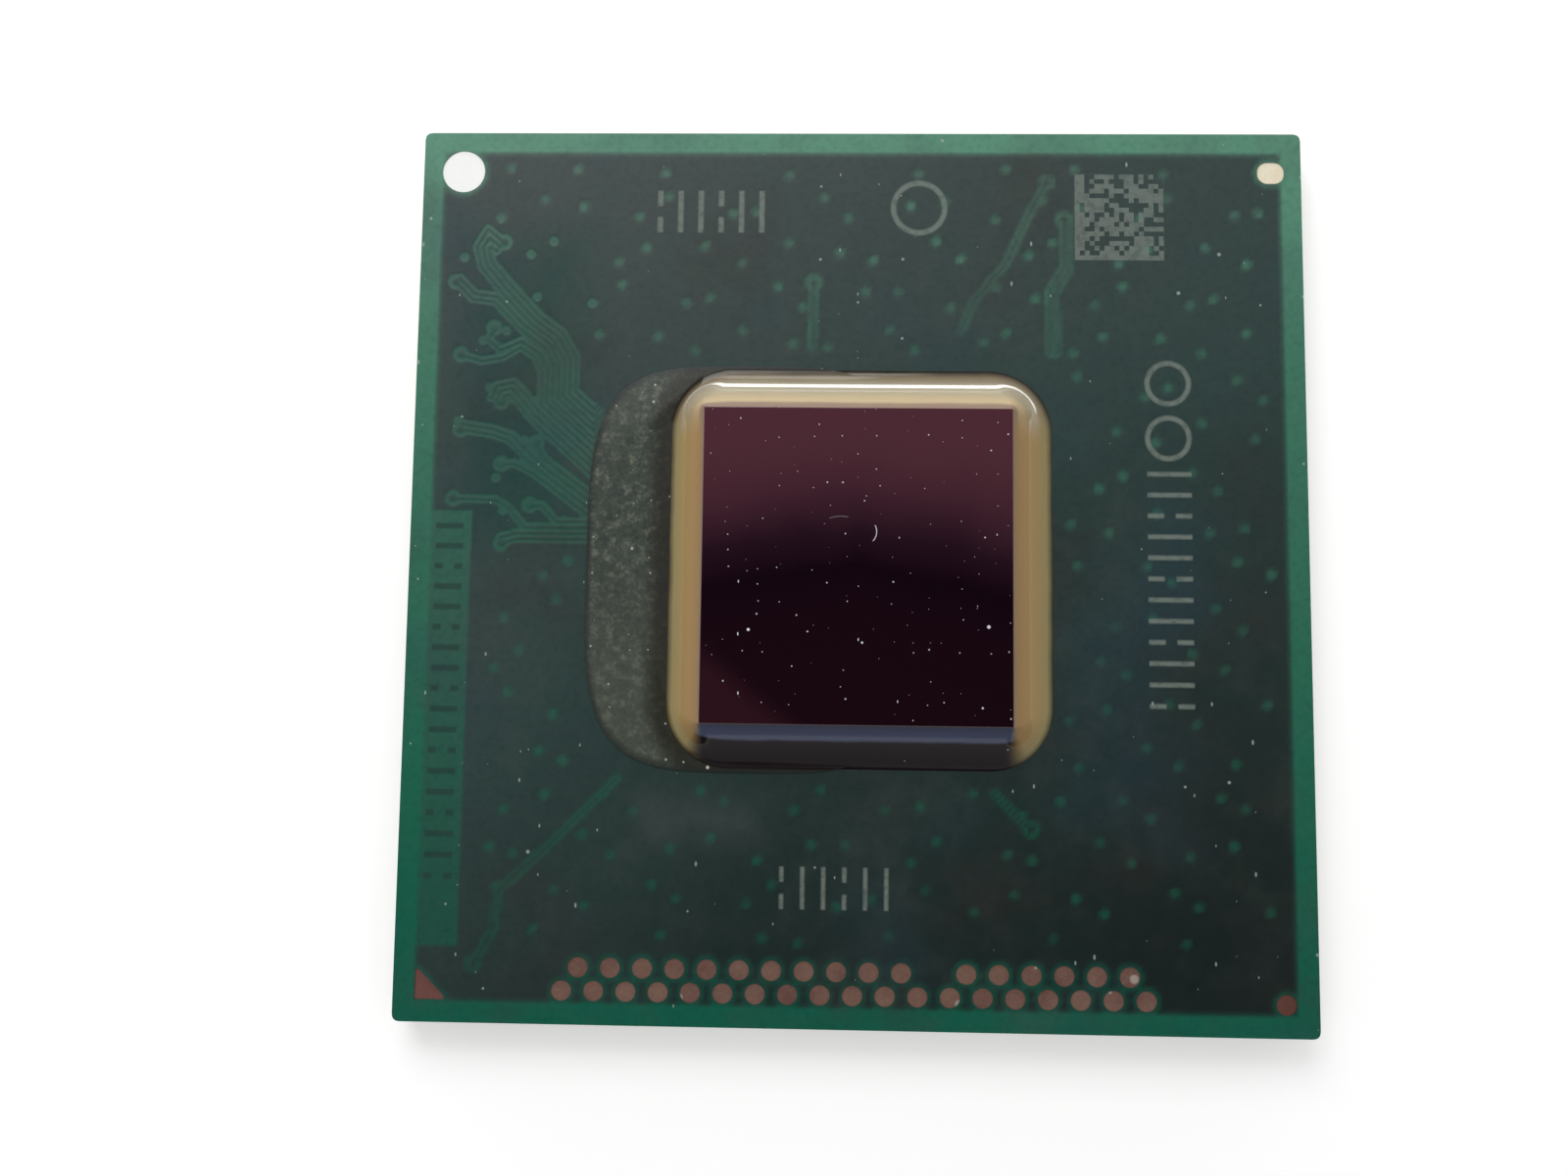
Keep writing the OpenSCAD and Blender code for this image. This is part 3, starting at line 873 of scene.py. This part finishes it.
def fillet_sides(finish, x, y):
    """Shares that are 1 at the sides and at the front, and 0 at the back."""
    aside = abs(x) - die_right
    ahead = (die_front - y).at_least(0.0)
    at_side = finish.step(aside, 0.0, 0.1) * finish.step(y, die_back + 0.5, die_back - 0.7)
    turn = (aside - ahead * 0.35) / (ahead * 0.8 + 0.08)
    return at_side, finish.step(turn, 0.5, -0.5) * finish.step(ahead, 0.0, 0.02)


print("the die's back edge is", round(die_back, 2), "mm behind the middle, its front", round(-die_front, 2))


# %% Underfill finish
# the first three ramps run from the die's edge (0) to the foot (1), the film's over its grain
# the back is painted lighter than the sides, as if lit from behind; the back and side ramps end in a
# painted shadow at the foot
BACK_TONES = [(0.0, tone(150, 128, 116)), (0.12, tone(156, 134, 116)), (0.2, tone(200, 180, 144)),
              (0.55, tone(164, 154, 126)), (0.84, tone(124, 112, 90)), (0.98, tone(42, 38, 30))]
SIDE_TONES = [(0.0, tone(164, 134, 96)), (0.32, tone(174, 142, 98)), (0.6, tone(164, 138, 88)),
              (0.86, tone(146, 134, 92)), (1.0, tone(60, 54, 40))]
# the front is painted shade, with a painted bluish reflection in the band next to the die
FRONT_SHADE_AND_REFLECTION_TONES = [(0.0, tone(72, 76, 92)), (0.2, tone(78, 84, 112)), (0.34, tone(78, 84, 110)),
               (0.40, tone(17, 0, 7)), (0.85, tone(15, 0, 6)), (0.97, tone(26, 18, 20))]
FILM_TONES = [(0.30, tone(36, 46, 40)), (0.52, tone(62, 70, 62)), (0.72, tone(108, 114, 100))]
GLOSS = 0.09  # roughness of the fillet


def film_color(finish, place, x, y, from_foot, grain):
    """The film is grey and grainy; it has a painted shadow beside the fillet, is painted lighter towards
    the front, and darkens along its squarish rim.
    """
    u = (x - film_middle / MM) / (film_reach / MM)
    v = y / (film_half / MM)
    oval = ((u * u * u * u) + (v * v * v * v)).root().root()
    film = finish.ramp(grain, FILM_TONES)
    # painted lighter towards the front, against the sheen of the light from the back
    film = finish.blend(finish.step(y, 1.0, -3.0) * 0.25, film, tone(104, 110, 96))
    # a painted shadow beside the fillet's foot
    film = finish.blend(finish.step(from_foot, 0.7, 0.15) * 0.8, film, tone(24, 16, 6))
    film = finish.blend(finish.step(oval, 0.955, 0.995) * 0.75, film, tone(28, 34, 32))
    return finish.blend(finish.specks(place, 0.42, 0.05, 0.22) * 0.7, film, tone(186, 190, 178))


def underfill_finish():
    finish = Finish("underfill", tone(176, 156, 118), roughness=GLOSS, specular_ior_level=0.3,
                    coat_roughness=0.06, coat_ior=2.0)
    place = finish.place()
    x, y, _ = finish.split(place)
    out, from_foot = share_along(x, y)
    out = out + (finish.noise(place, 1.3, 2.0) - 0.5) * 0.06
    at_side, at_front = fillet_sides(finish, x, y)
    # the back, the sides and the front are lit and shaded copies of one cream: painted light and painted
    # shade
    color = finish.blend(at_side, finish.ramp(out, BACK_TONES), finish.ramp(out, SIDE_TONES))
    color = finish.blend(at_front, color, finish.ramp(out, FRONT_SHADE_AND_REFLECTION_TONES))
    grain = finish.noise(place, 5.5, 5.0, 0.75)
    is_film = finish.step(from_foot, -0.02, 0.04)
    base = finish.blend(is_film, color, film_color(finish, place, x, y, from_foot, grain))
    dust = finish.specks(place, 1.1, 0.05, 0.18)
    finish.set("Base Color", finish.blend(dust * 0.8, base, tone(232, 228, 214)))
    finish.set("Roughness", is_film * 0.38 + GLOSS)
    # the hollow of the fillet at the back cured glossier than the rest
    behind = finish.step(y, die_back - 0.7, die_back + 0.1)
    hollow = finish.step(out, 0.34, 0.46) * finish.step(out, 0.78, 0.68)
    finish.set("Coat Weight", behind * hollow)
    finish.bump(is_film * grain, 0.006)
    return finish.material


finish_piece(fillet, underfill_finish(), "underfill", "underfill")

# %% [markdown]
# ## The die
#
# The die is a slip of silicon, ground and polished on its back, which faces up. Its sawn edges are sharp
# but never perfect, so they get a bevel of eight microns, painted pale as a painted highlight. The polish
# mirrors a dark room; its maroon black, lighter towards the back, is a painted reflection, and every grain
# of dust shows on it.


# %% Model the die
SAWN_BEVEL = 0.008 * MM
MIRROR = 0.08  # roughness of the polished back


def model_die():
    made = block(Vector(die_low), Vector(die_high), "silicon_die")
    pick(made, lambda a, b: True, "EDGE")
    bpy.ops.mesh.bevel(offset=SAWN_BEVEL, segments=2, affect="EDGES")
    leave_edit()
    return made


die = model_die()
print(die.name, [round(v / MM, 2) for v in die_high - die_low], "mm")


# %% Die finish
DIE_REFLECTION_TONES = [(0.0, tone(27, 8, 17)), (0.3, tone(26, 8, 18)), (0.5, tone(20, 5, 16)),
             (0.66, tone(38, 18, 30)), (0.82, tone(64, 34, 46)), (1.0, tone(82, 46, 56))]


def hair(finish, x, y, middle, radius, low, high):
    """A short curved hair: the part of a thin circle that lies inside a box."""
    return ring(finish, x, y, middle, radius, 0.018, 0.008) * inside_box(finish, x, y, low, high)


def die_dust(finish, place, x, y):
    """Fine grains, a few bold ones, bits of lint and two hairs, as one share."""
    fine = finish.specks(place, 0.36, 0.024, 0.44)
    bold = finish.specks(place, 1.3, 0.048, 0.26)
    lint = finish.specks(place, 1.5, 0.080, 0.14, (3.5, 1.2, 1))
    clear_hair = hair(finish, x, y, (0.12, 0.72), 0.30, (0.28, 0.52), (0.6, 0.86))
    faint_hair = hair(finish, x, y, (-0.35, 0.30), 0.75, (-0.6, 0.9), (-0.2, 1.2))
    dust = (fine * 0.75).at_least(bold).at_least(lint)
    return dust.at_least(clear_hair * 0.8).at_least(faint_hair * 0.16)


def die_finish():
    finish = Finish("polished_silicon", tone(30, 10, 20), roughness=MIRROR, ior=1.45)
    place = finish.place()
    x, y, z = finish.split(place)
    # the maroon tones, lighter towards the back, are a painted reflection of the room
    sway = (finish.noise(place, 0.3, 2.0) - 0.5) * 1.2
    level = finish.step(y + sway + abs(x) * 0.2, -3.4, 3.4)
    base = finish.ramp(level, DIE_REFLECTION_TONES)
    # the front left corner is a shade lighter
    corner = finish.step(x * 0.83 + y, -4.2, -5.2)
    base = finish.blend(corner * 0.45, base, tone(64, 30, 40))
    # the sawn sides and bevel are painted pale, a painted highlight along the die's edge; they are also
    # rougher
    sawn_side_and_highlight = finish.step(z, die_top - 0.006, die_top - 0.012)
    base = finish.blend(sawn_side_and_highlight, base, tone(150, 130, 108))
    dust = die_dust(finish, place, x, y)
    finish.set("Base Color", finish.blend(dust * 0.9, base, tone(238, 238, 240)))
    finish.set("Roughness", dust * 0.6 + sawn_side_and_highlight * 0.4 + MIRROR)
    return finish.material


finish_piece(die, die_finish(), "silicon", "die")

# %% [markdown]
# ## The solder balls
#
# Each ball melted onto its land and froze as a sphere, a little flat on top where it wets the copper.
# There are 699 of them, so each has only a few dozen faces. Their places are read from the CAD.

# %% Model the balls
def ball_places():
    """The middle of every CAD ball, and the radius that all of them have."""
    places = []
    for name in ("ball_field", "corner_balls"):
        for part in loose_parts(copy_node(name)):
            points = np.array([v.co for v in part.data.vertices])
            places.append((points.min(0) + points.max(0)) / 2)
            radius = float(np.ptp(points[:, 0])) / 2
            discard(part)
    return places, radius


def model_balls():
    places, radius = ball_places()
    _, ball_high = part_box("ball_field")
    bpy.ops.object.select_all(action="DESELECT")
    bpy.ops.mesh.primitive_uv_sphere_add(segments=12, ring_count=8, radius=radius, location=(0, 0, radius))
    first = settle(bpy.context.active_object, "first_ball")
    for v in first.data.vertices:
        v.co.z = min(v.co.z, ball_high.z)
    bpy.ops.object.shade_smooth()
    copies = []
    for x, y, _ in places:
        ball = bpy.data.objects.new("ball", first.data.copy())
        bpy.context.scene.collection.objects.link(ball)
        ball.location = (x, y, 0)
        copies.append(ball)
    discard(first)
    print(len(copies), "balls of", round(radius * 2 / MM, 2), "mm")
    return join(copies, "solder_balls")


def solder_finish():
    finish = Finish("reflowed_solder", tone(196, 198, 202), roughness=0.3, metallic=1.0)
    place = finish.place()
    grain = finish.noise(place, 14.0, 3.0)
    finish.set("Base Color", finish.ramp(grain, [(0.3, tone(176, 178, 182)), (0.7, tone(214, 215, 217))]))
    finish.set("Roughness", finish.step(grain, 0.2, 0.8, 0.22, 0.42))
    return finish.material


balls = model_balls()
finish_piece(balls, solder_finish(), "solder", "ball_field", "corner_balls")

# %% [markdown]
# ## Plating, copper and laminate
#
# The other CAD pieces keep their shape and only get a finish. Test pads have a dull pinkish plating that
# ages unevenly, with pale specks that are partly residue and partly painted glints. The lands in the
# corners
# differ: one is bright plating painted white, a painted reflection, one is pale gold brightened by a
# painted reflection, two are dull. The sawn edge of the board shows the glass weave as pale and dark
# layers.


# %% Finishes of the CAD pieces
def dress(name, material):
    mesh = nodes[name].data
    mesh.materials.clear()
    mesh.materials.append(material)
    print(name, "->", material.name)


def plating(name, dull, fresh, roughness, metallic, crumbs=0.0):
    """A plated surface whose tone wanders, with fine grain and here and there a pale crumb of residue,
    partly a painted glint.
    """
    finish = Finish(name, dull, roughness=roughness, metallic=metallic)
    place = finish.place()
    wander = finish.noise(place, 1.1, 3.0) * 0.7 + finish.noise(place, 12.0, 2.0) * 0.3
    # pale specks: partly crumbs of residue, partly painted glints
    flux_and_glint = finish.specks(place, 0.55, 0.13, crumbs) * 0.6
    base = finish.ramp(wander, [(0.32, dull), (0.66, fresh)])
    finish.set("Base Color", finish.blend(flux_and_glint, base, tone(198, 188, 176)))
    finish.set("Roughness", finish.step(wander, 0.2, 0.8, roughness + 0.08, roughness - 0.08))
    finish.bump(finish.noise(place, 30.0, 2.0), 0.0008)
    return finish.material


GLASS_PITCH = 0.12  # mm from one layer of glass cloth to the next


def laminate_finish():
    finish = Finish("glass_epoxy", tone(150, 156, 104), roughness=0.6)
    place = finish.place()
    _, _, z = finish.split(place)
    wavy = z + finish.noise(place, 0.9, 2.0) * 0.02
    layer = abs(wavy.wrap(GLASS_PITCH) - GLASS_PITCH / 2) * 16.7
    weave = finish.noise(place, 3.0, 3.0, stretch=(1.0, 1.0, 9.0))
    base = finish.ramp(layer * 0.6 + weave * 0.4, [(0.25, tone(112, 118, 70)), (0.75, tone(176, 178, 128))])
    finish.set("Base Color", base)
    finish.set("Roughness", finish.step(weave, 0.2, 0.8, 0.5, 0.7))
    return finish.material


def bottom_finish():
    finish = Finish("solder_mask_bottom", tone(26, 84, 64), roughness=0.4)
    place = finish.place()
    cloud = finish.noise(place, 0.5, 3.0)
    finish.set("Base Color", finish.ramp(cloud, [(0.3, tone(20, 72, 56)), (0.7, tone(34, 94, 72))]))
    finish.set("Roughness", finish.step(cloud, 0.2, 0.8, 0.36, 0.48))
    finish.bump(finish.noise(place, 9.0, 3.0), 0.0016)
    return finish.material


pink = plating("pad_plating", tone(108, 74, 66), tone(142, 110, 96), 0.46, 0.35, crumbs=0.22)
dress("front_test_pads", pink)
dress("back_test_pads", pink)
LANDS = (  # node, finish, dull tone, fresh tone, roughness, metallic
    ("small_corner_land", "dull_land", tone(96, 56, 48), tone(118, 74, 62), 0.5, 0.35),
    ("pin_one_mark", "dull_triangle", tone(104, 64, 58), tone(124, 80, 74), 0.5, 0.35),
    # the bright land's white and the pale gold land's paleness are partly painted reflections of the light
    ("round_corner_land", "bright_land", tone(250, 250, 248), tone(255, 255, 255), 0.35, 0.0),
    ("bright_corner_land", "pale_gold_land", tone(244, 224, 184), tone(255, 248, 226), 0.32, 0.2),
)
for land, *values in LANDS:
    dress(land, plating(*values))
etched = plating("etched_copper", tone(168, 104, 74), tone(196, 132, 98), 0.4, 0.8)
for name in ("top_copper", "signal_tracks", "ball_lands", "die_bumps"):
    dress(name, etched)
dress("board_core", laminate_finish())
dress("bottom_mask", bottom_finish())

# %% [markdown]
# ## Floor
#
# The chip lies on white paper. A paper bright enough to look white would also light the chip from all
# sides, so it is only lifted to white for the camera and for reflections: the Light Path node tells which
# kind of ray is asking. That keeps the chip's shadow and puts no more light on the chip.


# %% Floor
PAPER_SIZE = 600 * MM
PAPER_LIFT = 0.34


def model_floor():
    bpy.ops.object.select_all(action="DESELECT")
    bpy.ops.mesh.primitive_plane_add(size=PAPER_SIZE, location=(0, 0, 0))
    made = bpy.context.active_object
    made.name = "paper"
    finish = Finish("white_paper", (0.9, 0.9, 0.9), roughness=1.0, specular_ior_level=0.0)
    seen = [finish.node("ShaderNodeLightPath", output=kind)
            for kind in ("Is Camera Ray", "Is Glossy Ray", "Is Transmission Ray")]
    lift = (seen[0] + seen[1] + seen[2]).at_most(1.0)
    finish.set("Emission Color", finish.blend(lift, (0.0, 0.0, 0.0), (1.0, 1.0, 1.0)))
    finish.set("Emission Strength", PAPER_LIFT)
    made.data.materials.append(finish.material)
    return made


paper = model_floor()
print(paper.name, round(PAPER_SIZE / MM), "mm wide")

# %% [markdown]
# ## Light
#
# Soft light comes from the back, and the sky is bright all round. It is dark straight above: the polished
# die mirrors just that patch, so it stays dark. A low strip of brighter sky behind the chip draws the fine
# white line along the back of the fillet. The camera itself doesn't see that strip.


# %% Soft box
def soft_box(name, place, size, power):
    """A rectangle of light that faces the chip; its place and size are in millimetres."""
    lamp = bpy.data.lights.new(name, "AREA")
    lamp.shape = "RECTANGLE"
    lamp.size = size[0] * MM
    lamp.size_y = size[1] * MM
    lamp.energy = power
    made = bpy.data.objects.new(name, lamp)
    bpy.context.scene.collection.objects.link(made)
    made.location = Vector(place) * MM
    aim = Vector((0, 0, board_top)) - made.location
    made.rotation_euler = aim.to_track_quat("-Z", "Y").to_euler()
    made.visible_camera = False
    return made


lamp = soft_box("back_soft_box", (-25, 75, 65), (70, 50), 0.05)
print(lamp.name, lamp.data.energy, "W")

# %% Sky
SKY_LEVEL = 0.62
STRIP_LEVEL = 5.0  # how much brighter the strip is than the sky


def greys(*stops):
    """Stops of a ramp from black to white."""
    return [(place, (level, level, level)) for place, level in stops]


class Sky(Finish):
    """The light of the room, which is written as a sum like any finish."""

    def __init__(self, name):
        world = bpy.data.worlds.new(name)
        world.use_nodes = True
        bpy.context.scene.world = world
        self.tree = world.node_tree
        self.shader = self.tree.nodes["Background"]


def model_sky():
    """White all round, dark straight above, with one bright strip low at the back."""
    sky = Sky("room")
    _, behind, height = sky.split(sky.node("ShaderNodeTexCoord", output="Generated"))
    low_band = sky.ramp(height, greys((0.080, 0.0), (0.090, 1.0), (0.195, 1.0), (0.205, 0.0)))
    strip = low_band * sky.ramp(behind, greys((0.45, 0.0), (0.60, 1.0)))
    unseen = 1.0 - sky.node("ShaderNodeLightPath", output="Is Camera Ray")
    sky.set("Color", sky.ramp(height, greys((0.0, 1.0), (0.86, 1.0), (0.93, 0.03))))
    sky.set("Strength", strip * unseen * STRIP_LEVEL + SKY_LEVEL)


model_sky()
bpy.context.scene.view_settings.view_transform = "Standard"
print("sky at", SKY_LEVEL, "and its strip at", SKY_LEVEL + STRIP_LEVEL)

# %% [markdown]
